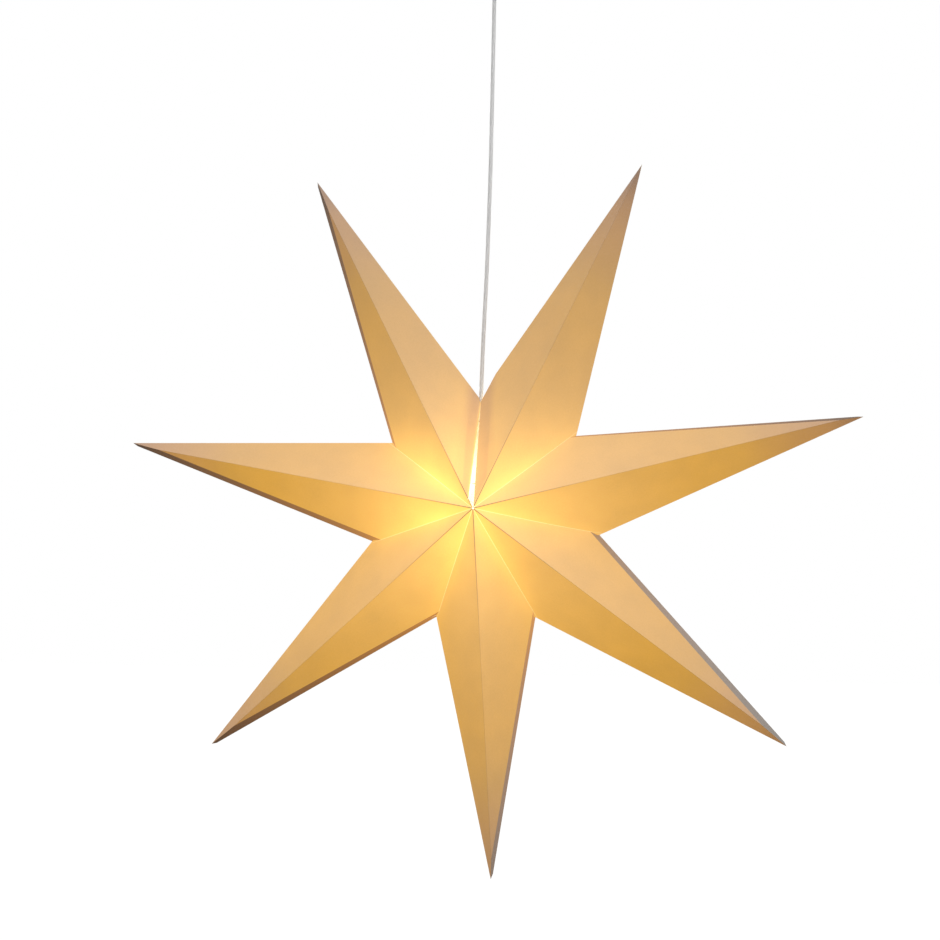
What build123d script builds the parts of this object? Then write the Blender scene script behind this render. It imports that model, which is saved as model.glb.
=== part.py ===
"""Paper advent star lamp: a lit seven-pointed star of folded paper on a cord under a ceiling rose.

Millimetres. The origin is on the ceiling, at the middle of the rose. +Z is up, the star hangs below
and its front looks along -Y.
"""
from build123d import *
import math
import os

# Star of folded paper
POINT_NAMES = ("top_left", "left", "lower_left", "bottom", "lower_right", "right", "top_right")
STAR_DROP = 620.0            # ceiling to the star's centre
STAR_LEAN = 2.6              # degrees that the star hangs anticlockwise of plumb, seen from the front
REACH = 388.0                # centre to a tip, before its seam is folded over
REACH_DRIFT = (12.0, 2.0, -12.0, -15.0, 0.0, 12.0, 15.0)   # hand folding, in the order of the names
VALLEY_RADIUS = 123.0        # centre to the corner between two points
HALF_DEPTH = 70.5            # middle plane to the front centre
PAPER = 0.5
SEAM_TILTS = (65.5, 64.5, 69.0, 72.5, 65.0, 73.0, 78.0)    # degrees from the middle plane to each seam strip
SEAM_DEPTH = 4.0             # how far the seam strips cut in from the sharp edge
PINHOLE_RADIUS = 2.0         # where the seven sheets meet, front and back
SLIT_AT_NOTCH = 1.6
SLIT_AT_FRONT = 5.0
HEM_WIDTH = 11.0             # paper folded in along both edges of the slit
NOTCH_CLEARANCE = 0.6

# Strip that closes the back of the top valley
STRIP_PAPER = 0.4
STRIP_WIDTH = 9.0
STRIP_START = 26.0           # from the star's centre along the valley
STRIP_LENGTH = 54.0

# Cord
CORD_RADIUS = 2.0
CORE_RADIUS = 0.8
CORE_SPACING = 2.0           # between the two cores in the cord
CORE_GAP = 0.5               # between a cord's end and its bared cores
CORD_TOP = 18.0              # below the ceiling
BEND_SHARE = 0.45            # of the shorter run beside a bend
CORD_ROUTE = (                # x and z between its ends
    (0.0, -235.0), (-0.9, -310.0), (-2.2, -380.0), (-4.2, -440.0), (-5.2, -490.0))

# Disc that the top of the star rests on
CARRIER_HEIGHT = 93.0        # above the star's centre
CARRIER_THICK = 2.0
CARRIER_CLEARANCE = 0.35
CORD_BORE_CLEARANCE = 0.3

# Lampholder, from the disc downwards
GRIP_RADIUS = 6.0
GRIP_HEIGHT = 9.0
CAP_RADIUS = 14.0
CAP_NECK_RADIUS = 7.0
CAP_HEIGHT = 24.0
CAP_DOME = 10.0
HOLDER_WALL = 1.6
SPIGOT_HEIGHT = 4.0          # top of the skirt inside the cap
SPIGOT_CLEARANCE = 0.2
SKIRT_RADIUS = 13.0
SKIRT_LENGTH = 28.0
SKIRT_CHAMFER = 1.2
INSERT_HEIGHT = 9.0
INSERT_CLEARANCE = 1.6       # to the cap's wall, which curves in above the insert
WELL_RADIUS = 1.3
WELL_DEPTH = 5.0
WELL_OFFSET = 3.4
TERMINAL_OFFSET = 7.4
SHELL_RADIUS = 7.1           # inside of the threaded brass shell
SHELL_WALL = 0.5
SHELL_LENGTH = 24.0
SHELL_FLANGE = 1.6
SHELL_FLANGE_THICK = 0.8
SHELL_CLEARANCE = 0.3
TONGUE_WIDTH = 4.0
TONGUE_THICK = 0.5
TONGUE_REACH = 4.6           # from the lamp's axis to the tongue's root
TONGUE_DROP = 6.0            # below the insert

# Bulb
BULB_SEAT = 0.3              # between the bulb's contact and the tongue
CONTACT_RADIUS = 2.4
CONTACT_HEIGHT = 1.7
CONTACT_CHAMFER = 0.55
INSULATOR_HEIGHT = 3.4
INSULATOR_TOP_RADIUS = 3.0
BULB_CAP_LENGTH = 15.0
BULB_CAP_WALL = 0.4
THREAD_CLEARANCE = 0.4
GLOBE_RADIUS = 22.5
GLOBE_WALL = 0.8
GLOBE_NECK_RADIUS = 6.0
GLOBE_NECK_ENTRY = 5.0       # neck inside the cap
GLOBE_BLEND = 11.0
GLOBE_DROP = 37.0            # cap's lower edge to the globe's centre
STEM_RADIUS = 1.7
STEM_FLARE_RADIUS = 4.9
STEM_FLARE_HEIGHT = 3.0
STEM_LENGTH = 50.0
FILAMENT_COUNT = 4
FILAMENT_RADIUS = 0.9
FILAMENT_TOP = 14.0          # above the globe's centre
FILAMENT_BOTTOM = -11.0
FILAMENT_SPREAD = (4.2, 7.4)
LEAD_RADIUS = 0.35

# Ceiling bracket
BRACKET_LENGTH = 84.0
BRACKET_WIDTH = 22.0
BRACKET_THICK = 2.0
SLOT_SPACING = 60.0
SLOT_WIDTH = 5.0
SLOT_LENGTH = 12.0
SUPPLY_HOLE_RADIUS = 5.0
SUPPLY_HOLE_X = -15.0
TONGUE_PLATE_WIDTH = 18.0
TONGUE_PLATE_LENGTH = 30.0
CLAMP_WIDTH = 17.0
CLAMP_DEPTH = 9.4
CLAMP_HEIGHT = 10.0
CLAMP_EDGE = 2.3             # rounding of its front corners
CLAMP_TOP = 19.0             # below the ceiling
CLAMP_SCREW_SPACING = 11.0
BLOCK_SIZE = (18.0, 17.0, 13.0)
BLOCK_X = 20.0
BLOCK_EDGE = 1.7             # rounding of its corners
BLOCK_GROOVE = 1.4           # between the two poles
BLOCK_GROOVE_DEPTH = 6.5
BLOCK_SCREW_DEPTH = 3.2
POLE_SPACING = 7.0
POLE_HOLE_RADIUS = 1.6
POLE_SCREW_SPACING = 8.0

# Sliding cover
CUP_RADIUS = 46.0
CUP_HEIGHT = 56.0
CUP_RIM_HEIGHT = 18.0
CUP_FLAT_RADIUS = 12.0
CUP_WALL = 1.6
CUP_GAP = 0.5                # rim below the ceiling
BUSH_RADIUS = 5.0
BUSH_FLANGE_RADIUS = 8.5
BUSH_FLANGE_HEIGHT = 3.0
BUSH_LENGTH = 17.0           # below the cup's underside
BUSH_FIT = 0.1
NUT_WIDTH = 16.0             # across flats
NUT_HEIGHT = 4.0
THUMB_SCREW_HEAD = 3.2
THUMB_SCREW_HEAD_HEIGHT = 3.4
THUMB_SCREW_DROP = 11.0      # below the cup's underside

# Screws, by the radius of their heads
SCREW_RADIUS = 1.5
SCREW_FIT = 0.15             # gap round a screw's shank
SCREW_HEAD_HEIGHT = 1.5
SCREW_SLOT_WIDTH = 0.7
SCREW_SLOT_DEPTH = 0.75
GRIP_SCREW_HEAD = 2.25
TERMINAL_SCREW_HEAD = 1.95
CLAMP_SCREW_HEAD = 2.4
BLOCK_SCREW_HEAD = 1.8

HALF_WEDGE = math.radians(180.0 / len(POINT_NAMES))
VALLEY_ALONG = VALLEY_RADIUS * math.cos(HALF_WEDGE)
VALLEY_ACROSS = VALLEY_RADIUS * math.sin(HALF_WEDGE)
LAMP_X = -VALLEY_RADIUS * math.sin(math.radians(STAR_LEAN))
CORD_BORE_RADIUS = CORD_RADIUS + CORD_BORE_CLEARANCE
FAR = 2.0 * REACH


def turned(*outline):
    """Solid of revolution about Z, from the corners (radius, height) of its outline."""
    return revolve(Plane.XZ * make_face(Polyline(*outline, close=True)), Axis.Z)


def sleeve(outer, inner, low, high):
    return turned((inner, low), (outer, low), (outer, high), (inner, high))


def rod(radius, start, end):
    """Round bar between two points."""
    start = Vector(start)
    end = Vector(end)
    line = end - start
    return extrude(Plane(origin=start, z_dir=line) * Circle(radius), line.length)


def screw(head_radius, head_height, shank_length):
    """Slotted screw along Z, its shank below the XY plane and its head above."""
    head = Pos(0, 0, head_height / 2) * Cylinder(head_radius, head_height)
    slot = Pos(0, 0, head_height) * Box(FAR, SCREW_SLOT_WIDTH, 2 * SCREW_SLOT_DEPTH)
    shank = Pos(0, 0, -shank_length / 2) * Cylinder(SCREW_RADIUS, shank_length)
    return head - slot + shank


# Paper points, each folded in its own frame: X towards the tip, Y anticlockwise, Z to the front

def reach_of(index):
    return REACH + REACH_DRIFT[index]


def facet_slope(reach):
    """Side of the pyramid's base, and the size of the facets' slope."""
    side = VALLEY_ACROSS * reach / (reach - VALLEY_ALONG)
    return side, math.sqrt(reach ** -2 + side ** -2 + HALF_DEPTH ** -2)


def pyramid(reach, inset):
    """Solid under the four facets of a point, with each facet moved inwards."""
    side, slope = facet_slope(reach)
    base = [(0, side, 0), (0, -side, 0), (0, 0, HALF_DEPTH), (0, 0, -HALF_DEPTH)]
    return Pos(-inset * slope * reach, 0, 0) * ConvexPolyhedron(base + [(reach, 0, 0)])


def valley_plane(turn, inset):
    """Plane of the valley on one side (turn 1 is anticlockwise), facing away from the point."""
    normal = Vector(-math.sin(HALF_WEDGE), turn * math.cos(HALF_WEDGE), 0)
    return Plane(origin=normal * -inset, z_dir=normal)


def wedge(solid):
    """What lies between a point's two valleys."""
    for turn in (1, -1):
        solid = split(solid, bisect_by=valley_plane(turn, 0), keep=Keep.BOTTOM)
    return solid


def seam_plane(index, inset):
    """Plane of the seam strip along a point's anticlockwise edge."""
    reach = reach_of(index)
    edge = math.hypot(reach - VALLEY_ALONG, VALLEY_ACROSS)
    tilt = math.radians(SEAM_TILTS[index])
    normal = Vector(
        math.sin(tilt) * VALLEY_ACROSS / edge,
        math.sin(tilt) * (reach - VALLEY_ALONG) / edge,
        math.cos(tilt),
    )
    corner = Vector(VALLEY_ALONG, VALLEY_ACROSS, 0)
    return Plane(origin=corner - normal * (SEAM_DEPTH + inset), z_dir=normal)


def folded_point(index):
    """One sheet folded to a hollow pyramid, with a seam strip and a gusset where the strip starts."""
    reach = reach_of(index)
    outside = wedge(pyramid(reach, 0))
    sheet = split(outside, bisect_by=seam_plane(index, 0), keep=Keep.BOTTOM)
    sheet -= split(pyramid(reach, PAPER), bisect_by=seam_plane(index, PAPER), keep=Keep.BOTTOM)
    gusset = split(outside, bisect_by=seam_plane(index, PAPER), keep=Keep.TOP)
    gusset = split(gusset, bisect_by=valley_plane(1, PAPER), keep=Keep.TOP)
    return sheet + gusset - Cylinder(PINHOLE_RADIUS, FAR)


def inner_layer(index, turn, start, thick, width, half):
    """Thin layer inside the facets beside one valley: half 1 is the front, -1 the back."""
    reach = reach_of(index)
    layer = wedge(pyramid(reach, start)) - pyramid(reach, start + thick)
    layer = split(layer, bisect_by=seam_plane(index, start), keep=Keep.BOTTOM)
    layer = split(layer, bisect_by=valley_plane(turn, width), keep=Keep.TOP)
    return split(layer, bisect_by=Plane(origin=(0, 0, 0), z_dir=(0, 0, half)), keep=Keep.TOP)


def point_frame(index):
    """Frame of one point: its X axis runs from the star's centre to the tip."""
    angle = math.pi / 2 + (2 * index + 1) * HALF_WEDGE + math.radians(STAR_LEAN)
    towards = (math.cos(angle), 0, math.sin(angle))
    return Plane(origin=(0, 0, -STAR_DROP), x_dir=towards, z_dir=(0, -1, 0)).location


def star_points():
    """The seven points. The first and the last are hemmed along the open slit at the top."""
    upright = (-math.sin(math.radians(STAR_LEAN)), 0, math.cos(math.radians(STAR_LEAN)))
    valley = Plane(origin=(0, 0, -STAR_DROP), x_dir=upright, z_dir=(0, -1, 0)).location
    slit_end = VALLEY_RADIUS + HEM_WIDTH
    slit = valley * extrude(
        make_face(Polyline(
            (0, -SLIT_AT_FRONT / 2), (slit_end, -SLIT_AT_NOTCH / 2),
            (slit_end, SLIT_AT_NOTCH / 2), (0, SLIT_AT_FRONT / 2), close=True)),
        FAR)
    cord_hole = rod(CORD_RADIUS + NOTCH_CLEARANCE, (LAMP_X, 0, -STAR_DROP), (LAMP_X, 0, 0))
    last = len(POINT_NAMES) - 1
    points = {}
    for index, name in enumerate(POINT_NAMES):
        sheet = folded_point(index)
        if index in (0, last):
            turn = -1 if index == 0 else 1
            sheet += inner_layer(index, turn, PAPER, PAPER, HEM_WIDTH, 1)
            sheet = point_frame(index) * sheet - slit - cord_hole
        else:
            sheet = point_frame(index) * sheet
        points["point_" + name] = sheet
    return points


def closing_strip():
    """Paper strip glued over the back of the top valley, on the inside."""
    strip = Part()
    last = len(POINT_NAMES) - 1
    for index, turn in ((0, -1), (last, 1)):
        half = inner_layer(index, turn, PAPER, STRIP_PAPER, STRIP_WIDTH, -1)
        along = Vector(math.cos(HALF_WEDGE), turn * math.sin(HALF_WEDGE), 0)
        half = split(half, bisect_by=Plane(origin=along * STRIP_START, z_dir=along), keep=Keep.TOP)
        end = along * (STRIP_START + STRIP_LENGTH)
        half = split(half, bisect_by=Plane(origin=end, z_dir=along), keep=Keep.BOTTOM)
        strip += point_frame(index) * half
    return strip


# Cord, with its two cores at each end

def bend_radius(before, corner, after):
    """Largest arc that the two runs at a corner of the cord allow."""
    into = Vector(corner) - Vector(before)
    out = Vector(after) - Vector(corner)
    turn = math.radians(into.get_angle(out))
    return BEND_SHARE * min(into.length, out.length) / math.tan(turn / 2)


def tube(radius, points):
    """Round tube along straight runs joined by the largest tangent arcs."""
    radii = [bend_radius(*points[i:i + 3]) for i in range(len(points) - 2)]
    path = FilletPolyline(*points, radius=radii)
    print("tube", round(path.length, 1), "long, arcs", [round(r, 1) for r in radii])
    return sweep(Plane(origin=path @ 0, z_dir=path % 0) * Circle(radius), path=path)


def cord():
    middle = [(x, 0, z) for x, z in CORD_ROUTE]
    return tube(CORD_RADIUS, [(0, 0, -CORD_TOP)] + middle + [(LAMP_X, 0, CORD_END - STAR_DROP)])


# Lampholder and bulb, about the lamp's own axis with heights from the star's centre

CARRIER_LOW = CARRIER_HEIGHT - CARRIER_THICK
CAP_TOP = CARRIER_LOW - GRIP_HEIGHT
CAP_LOW = CAP_TOP - CAP_HEIGHT
CORD_END = CAP_TOP - HOLDER_WALL - CORE_GAP
SPIGOT_TOP = CAP_LOW + SPIGOT_HEIGHT
INSERT_LOW = SPIGOT_TOP + SHELL_FLANGE_THICK
INSERT_TOP = INSERT_LOW + INSERT_HEIGHT
SPIGOT_RADIUS = CAP_RADIUS - HOLDER_WALL - SPIGOT_CLEARANCE
INSERT_RADIUS = CAP_RADIUS - HOLDER_WALL - INSERT_CLEARANCE
SKIRT_LOW = CAP_LOW - SKIRT_LENGTH
SHELL_LOW = SPIGOT_TOP - SHELL_LENGTH
SHELL_OUTSIDE = SHELL_RADIUS + SHELL_WALL
CONTACT_TOP = INSERT_LOW - TONGUE_DROP - TONGUE_THICK - BULB_SEAT
CONTACT_LOW = CONTACT_TOP - CONTACT_HEIGHT
BULB_CAP_TOP = CONTACT_LOW - INSULATOR_HEIGHT
BULB_CAP_LOW = BULB_CAP_TOP - BULB_CAP_LENGTH
BULB_CAP_RADIUS = SHELL_RADIUS - THREAD_CLEARANCE
GLOBE_CENTRE = BULB_CAP_LOW - GLOBE_DROP


def carrier_disc():
    """Disc whose rim meets the inside of the star's front and back valley folds."""
    slope = facet_slope(REACH)[1]
    lining = 2 * PAPER + CARRIER_CLEARANCE
    radius = HALF_DEPTH * (1 - CARRIER_HEIGHT / VALLEY_RADIUS - slope * lining)
    return sleeve(radius, CORD_BORE_RADIUS, CARRIER_LOW, CARRIER_HEIGHT)


def cord_grip():
    screw_height = (CARRIER_LOW + CAP_TOP) / 2
    body = sleeve(GRIP_RADIUS, CORD_BORE_RADIUS, CAP_TOP, CARRIER_LOW)
    return body - rod(SCREW_RADIUS + SCREW_FIT, (0, 0, screw_height), (FAR, 0, screw_height))


def grip_screw():
    """Small screw that presses on the cord from the side."""
    height = (CARRIER_LOW + CAP_TOP) / 2
    reach = GRIP_RADIUS - CORD_BORE_RADIUS
    body = screw(GRIP_SCREW_HEAD, SCREW_HEAD_HEIGHT, reach)
    return Pos(GRIP_RADIUS, 0, height) * Rot(0, 90, 0) * body


def cap_outline(neck, radius, top, low):
    """Half section of the cap: a flat top, a domed shoulder and a straight wall."""
    shoulder = CAP_TOP - CAP_DOME
    dome = TangentArc((radius, shoulder), (neck, top), tangent=(0, 1))
    edges = Line((0, low), (radius, low)) + Line((radius, low), (radius, shoulder)) + dome
    return make_face(edges + Line((neck, top), (0, top)) + Line((0, top), (0, low)))


def holder_cap():
    outside = cap_outline(CAP_NECK_RADIUS, CAP_RADIUS, CAP_TOP, CAP_LOW)
    room = cap_outline(CAP_NECK_RADIUS - HOLDER_WALL, CAP_RADIUS - HOLDER_WALL,
                       CAP_TOP - HOLDER_WALL, CAP_LOW)
    shell = revolve(Plane.XZ * (outside - room), Axis.Z)
    return shell - Pos(0, 0, CAP_TOP) * Cylinder(CORD_BORE_RADIUS, CAP_HEIGHT)


def holder_skirt():
    bore = SHELL_OUTSIDE + SHELL_CLEARANCE
    return turned(
        (bore, SKIRT_LOW), (SKIRT_RADIUS - SKIRT_CHAMFER, SKIRT_LOW),
        (SKIRT_RADIUS, SKIRT_LOW + SKIRT_CHAMFER), (SKIRT_RADIUS, CAP_LOW),
        (SPIGOT_RADIUS, CAP_LOW), (SPIGOT_RADIUS, SPIGOT_TOP), (bore, SPIGOT_TOP))


def screw_shell():
    flange = SHELL_OUTSIDE + SHELL_FLANGE
    return turned(
        (SHELL_RADIUS, SHELL_LOW), (SHELL_OUTSIDE, SHELL_LOW), (SHELL_OUTSIDE, SPIGOT_TOP),
        (flange, SPIGOT_TOP), (flange, INSERT_LOW), (SHELL_RADIUS, INSERT_LOW))


def terminal_insert():
    """Insulating block with a well for each core and a hole for each terminal screw."""
    body = sleeve(INSERT_RADIUS, 0, INSERT_LOW, INSERT_TOP)
    for side in (1, -1):
        body -= Pos(side * WELL_OFFSET, 0, INSERT_TOP) * Cylinder(WELL_RADIUS, 2 * WELL_DEPTH)
        hole = SCREW_RADIUS + SCREW_FIT
        body -= Pos(side * TERMINAL_OFFSET, 0, INSERT_TOP) * Cylinder(hole, 2 * WELL_DEPTH)
    return body


def terminal_screws():
    body = screw(TERMINAL_SCREW_HEAD, SCREW_HEAD_HEIGHT, WELL_DEPTH - SCREW_FIT)
    return [Pos(side * TERMINAL_OFFSET, 0, INSERT_TOP) * body for side in (1, -1)]


def centre_tongue():
    """Brass strip that springs down from the insert on to the bulb's contact."""
    low = INSERT_LOW - TONGUE_DROP
    line = Polyline(
        (TONGUE_REACH, INSERT_LOW), (TONGUE_REACH, INSERT_LOW - TONGUE_THICK),
        (CONTACT_RADIUS, low - TONGUE_THICK), (-CONTACT_RADIUS, low - TONGUE_THICK),
        (-CONTACT_RADIUS, low), (CONTACT_RADIUS - TONGUE_THICK, low),
        (TONGUE_REACH - 2 * TONGUE_THICK, INSERT_LOW), close=True)
    return extrude(Plane.XZ * make_face(line), TONGUE_WIDTH / 2, both=True)


def holder_cores():
    """The cord's two cores, from its end down into the wells of the insert."""
    wires = []
    for side in (1, -1):
        start = side * CORE_SPACING / 2
        well = side * WELL_OFFSET
        top = CORD_END - CORE_GAP
        knee = (top + 2 * INSERT_TOP) / 3
        low = INSERT_TOP - WELL_DEPTH + CORE_GAP
        wires.append(tube(CORE_RADIUS, [(start, 0, top), (well, 0, knee), (well, 0, low)]))
    return wires


def bulb_contact():
    edge = CONTACT_CHAMFER
    return turned((0, CONTACT_LOW), (CONTACT_RADIUS, CONTACT_LOW), (CONTACT_RADIUS, CONTACT_TOP - edge),
                  (CONTACT_RADIUS - edge, CONTACT_TOP), (0, CONTACT_TOP))


def bulb_insulator():
    return turned((0, BULB_CAP_TOP), (BULB_CAP_RADIUS - BULB_CAP_WALL, BULB_CAP_TOP),
                  (INSULATOR_TOP_RADIUS, CONTACT_LOW), (0, CONTACT_LOW))


def bulb_cap():
    room = BULB_CAP_RADIUS - BULB_CAP_WALL
    return turned((room, BULB_CAP_LOW), (BULB_CAP_RADIUS, BULB_CAP_LOW), (BULB_CAP_RADIUS, BULB_CAP_TOP),
                  (0, BULB_CAP_TOP), (0, BULB_CAP_TOP - BULB_CAP_WALL), (room, BULB_CAP_TOP - BULB_CAP_WALL))


def globe_outline(radius, neck, blend):
    """Half section of the globe: a ball with a neck that flares into it."""
    top = BULB_CAP_LOW + GLOBE_NECK_ENTRY
    right = Pos(FAR / 2, GLOBE_CENTRE) * Rectangle(FAR, FAR)
    ball = Pos(0, GLOBE_CENTRE) * Circle(radius) & right
    throat = Pos(neck / 2, (top + GLOBE_CENTRE) / 2) * Rectangle(neck, top - GLOBE_CENTRE)
    outline = ball + throat
    corner = Vector(neck, GLOBE_CENTRE + math.sqrt(radius ** 2 - neck ** 2), 0)
    joint = outline.vertices().sort_by_distance(corner)[0]
    return fillet(joint, blend)


def bulb_globe():
    outside = globe_outline(GLOBE_RADIUS, GLOBE_NECK_RADIUS, GLOBE_BLEND)
    inside = globe_outline(
        GLOBE_RADIUS - GLOBE_WALL, GLOBE_NECK_RADIUS - GLOBE_WALL, GLOBE_BLEND + GLOBE_WALL)
    return revolve(Plane.XZ * (outside - inside), Axis.Z)


def bulb_stem():
    """Glass stem that closes the neck and reaches down between the filaments."""
    top = BULB_CAP_LOW + GLOBE_NECK_ENTRY
    flare = top - STEM_FLARE_HEIGHT
    return turned((0, top), (STEM_FLARE_RADIUS, top), (STEM_RADIUS, flare),
                  (STEM_RADIUS, top - STEM_LENGTH), (0, top - STEM_LENGTH))


def led_filaments():
    """Straight glowing rods round the stem, each on two bent wires."""
    bars = []
    high, low = GLOBE_CENTRE + FILAMENT_TOP, GLOBE_CENTRE + FILAMENT_BOTTOM
    near, wide = FILAMENT_SPREAD
    for index in range(FILAMENT_COUNT):
        bar = rod(FILAMENT_RADIUS, (near, 0, high), (wide, 0, low))
        bar += rod(LEAD_RADIUS, (STEM_RADIUS + CORE_GAP, 0, high), (near, 0, high))
        bar += rod(LEAD_RADIUS, (STEM_RADIUS + CORE_GAP, 0, low), (wide, 0, low))
        bars.append(Rot(0, 0, (index + 0.5) * 360 / FILAMENT_COUNT) * bar)
    return bars


# Ceiling rose: the bracket and what it carries

BLOCK_LOW = -BRACKET_THICK - BLOCK_SIZE[2]
WIRE_HEIGHT = -BRACKET_THICK - BLOCK_SIZE[2] / 2
CLAMP_MIDDLE = -CLAMP_TOP - CLAMP_HEIGHT / 2
CLAMP_FACE = CLAMP_DEPTH / 2


def ceiling_bracket():
    """Steel strap with two slots for the ceiling screws and a plate bent down beside the cord."""
    strap = extrude(SlotOverall(BRACKET_LENGTH, BRACKET_WIDTH), -BRACKET_THICK)
    for x in (-SLOT_SPACING / 2, SLOT_SPACING / 2):
        strap -= extrude(Pos(x, 0) * SlotOverall(SLOT_LENGTH, SLOT_WIDTH), FAR, both=True)
    strap -= Pos(SUPPLY_HOLE_X, 0, 0) * Cylinder(SUPPLY_HOLE_RADIUS, FAR)
    plate = Box(TONGUE_PLATE_WIDTH, BRACKET_THICK, TONGUE_PLATE_LENGTH,
                align=(Align.CENTER, Align.MIN, Align.MAX))
    plate = Pos(0, CLAMP_FACE, 0) * plate
    for x in (-CLAMP_SCREW_SPACING / 2, CLAMP_SCREW_SPACING / 2):
        plate -= rod(SCREW_RADIUS + SCREW_FIT, (x, 0, CLAMP_MIDDLE), (x, FAR, CLAMP_MIDDLE))
    return strap + plate


def cord_clamp():
    """Block that grips the cord against the bracket's plate."""
    body = Pos(0, 0, CLAMP_MIDDLE) * Box(CLAMP_WIDTH, CLAMP_DEPTH, CLAMP_HEIGHT)
    body = fillet(body.edges().filter_by(Axis.Z).group_by(Axis.Y)[0], CLAMP_EDGE)
    body -= Cylinder(CORD_BORE_RADIUS, FAR)
    for x in (-CLAMP_SCREW_SPACING / 2, CLAMP_SCREW_SPACING / 2):
        body -= rod(SCREW_RADIUS + SCREW_FIT, (x, -FAR, CLAMP_MIDDLE), (x, FAR, CLAMP_MIDDLE))
    return body


def clamp_screws():
    body = screw(CLAMP_SCREW_HEAD, SCREW_HEAD_HEIGHT, CLAMP_DEPTH + BRACKET_THICK)
    spots = (-CLAMP_SCREW_SPACING / 2, CLAMP_SCREW_SPACING / 2)
    return [Pos(x, -CLAMP_FACE, CLAMP_MIDDLE) * Rot(90, 0, 0) * body for x in spots]


def pole_spots():
    """Places of the terminal block's screws, two on each pole."""
    rows = (-POLE_SPACING / 2, POLE_SPACING / 2)
    columns = (BLOCK_X - POLE_SCREW_SPACING / 2, BLOCK_X + POLE_SCREW_SPACING / 2)
    return [(x, y) for y in rows for x in columns]


def terminal_block():
    """Two-pole block under the strap, with a wire hole through each pole."""
    length, width, height = BLOCK_SIZE
    body = Pos(BLOCK_X, 0, BLOCK_LOW + height / 2) * Box(length, width, height)
    body = fillet(body.edges().filter_by(Axis.Z), BLOCK_EDGE)
    body -= Pos(BLOCK_X, 0, BLOCK_LOW) * Box(FAR, BLOCK_GROOVE, 2 * BLOCK_GROOVE_DEPTH)
    for y in (-POLE_SPACING / 2, POLE_SPACING / 2):
        body -= rod(POLE_HOLE_RADIUS, (-FAR, y, WIRE_HEIGHT), (FAR, y, WIRE_HEIGHT))
    for x, y in pole_spots():
        body -= Pos(x, y, BLOCK_LOW) * Cylinder(SCREW_RADIUS + SCREW_FIT, 2 * BLOCK_SCREW_DEPTH)
    return body


def block_screws():
    body = screw(BLOCK_SCREW_HEAD, SCREW_HEAD_HEIGHT, BLOCK_SCREW_DEPTH - SCREW_FIT)
    return [Pos(x, y, BLOCK_LOW) * Rot(180, 0, 0) * body for x, y in pole_spots()]


def rose_cores():
    """The cord's two cores, from its top end across to the terminal block."""
    wires = []
    start = -CORD_TOP + CORE_GAP
    entry = BLOCK_X - BLOCK_SIZE[0] / 2
    for side in (1, -1):
        near = side * CORE_SPACING / 2
        pole = side * POLE_SPACING / 2
        wires.append(tube(CORE_RADIUS, [
            (0, near, start), (0, near, WIRE_HEIGHT), (entry / 2, pole, WIRE_HEIGHT),
            (entry + POLE_HOLE_RADIUS, pole, WIRE_HEIGHT)]))
    return wires


# Ceiling rose: the cover that slides on the cord

CUP_LOW = -CUP_GAP - CUP_HEIGHT
CUP_FLOOR = CUP_LOW + CUP_WALL
BUSH_LOW = CUP_LOW - BUSH_LENGTH
THUMB_SCREW_HEIGHT = CUP_LOW - THUMB_SCREW_DROP


def cup_outline(radius, low):
    """Half section of the cover: a straight rim that rounds in to a flat floor."""
    bend = -CUP_GAP - CUP_RIM_HEIGHT
    side = Line((radius, -CUP_GAP), (radius, bend))
    bell = TangentArc((radius, bend), (CUP_FLAT_RADIUS, low), tangent=(0, -1))
    floor = Line((CUP_FLAT_RADIUS, low), (0, low)) + Line((0, low), (0, -CUP_GAP))
    return make_face(side + bell + floor + Line((0, -CUP_GAP), (radius, -CUP_GAP)))


def canopy_cup():
    section = cup_outline(CUP_RADIUS, CUP_LOW) - cup_outline(CUP_RADIUS - CUP_WALL, CUP_FLOOR)
    return revolve(Plane.XZ * section, Axis.Z) - Cylinder(BUSH_RADIUS + BUSH_FIT, FAR)


def canopy_bush():
    """Flanged bush through the cover's floor, with the cord running through it."""
    body = turned(
        (CORD_BORE_RADIUS, BUSH_LOW), (BUSH_RADIUS, BUSH_LOW), (BUSH_RADIUS, CUP_FLOOR),
        (BUSH_FLANGE_RADIUS, CUP_FLOOR), (BUSH_FLANGE_RADIUS, CUP_FLOOR + BUSH_FLANGE_HEIGHT),
        (CORD_BORE_RADIUS, CUP_FLOOR + BUSH_FLANGE_HEIGHT))
    hole = SCREW_RADIUS + SCREW_FIT
    return body - rod(hole, (0, 0, THUMB_SCREW_HEIGHT), (0, FAR, THUMB_SCREW_HEIGHT))


def canopy_nut():
    face = RegularPolygon(NUT_WIDTH / 2, 6, major_radius=False) - Circle(BUSH_RADIUS + BUSH_FIT)
    return Pos(0, 0, CUP_LOW) * extrude(face, -NUT_HEIGHT)


def canopy_lock_screw():
    """Knurled thumb screw that holds the cover on the cord."""
    shank = BUSH_RADIUS - CORD_BORE_RADIUS
    body = screw(THUMB_SCREW_HEAD, THUMB_SCREW_HEAD_HEIGHT, shank)
    return Pos(0, BUSH_RADIUS, THUMB_SCREW_HEIGHT) * Rot(-90, 0, 0) * body


LAMP_PIECES = (
    carrier_disc, cord_grip, grip_screw, holder_cap, holder_skirt, screw_shell, terminal_insert,
    terminal_screws, centre_tongue, holder_cores, bulb_contact, bulb_insulator, bulb_cap, bulb_globe,
    bulb_stem, led_filaments,
)
ROSE_PIECES = (
    ceiling_bracket, cord_clamp, clamp_screws, terminal_block, block_screws, rose_cores,
    canopy_cup, canopy_bush, canopy_nut, canopy_lock_screw,
)


def solids_of(made):
    """One compound of the separate solids that a piece was made of."""
    shapes = made if isinstance(made, list) else [made]
    return Compound([solid for shape in shapes for solid in shape.solids()])


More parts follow.
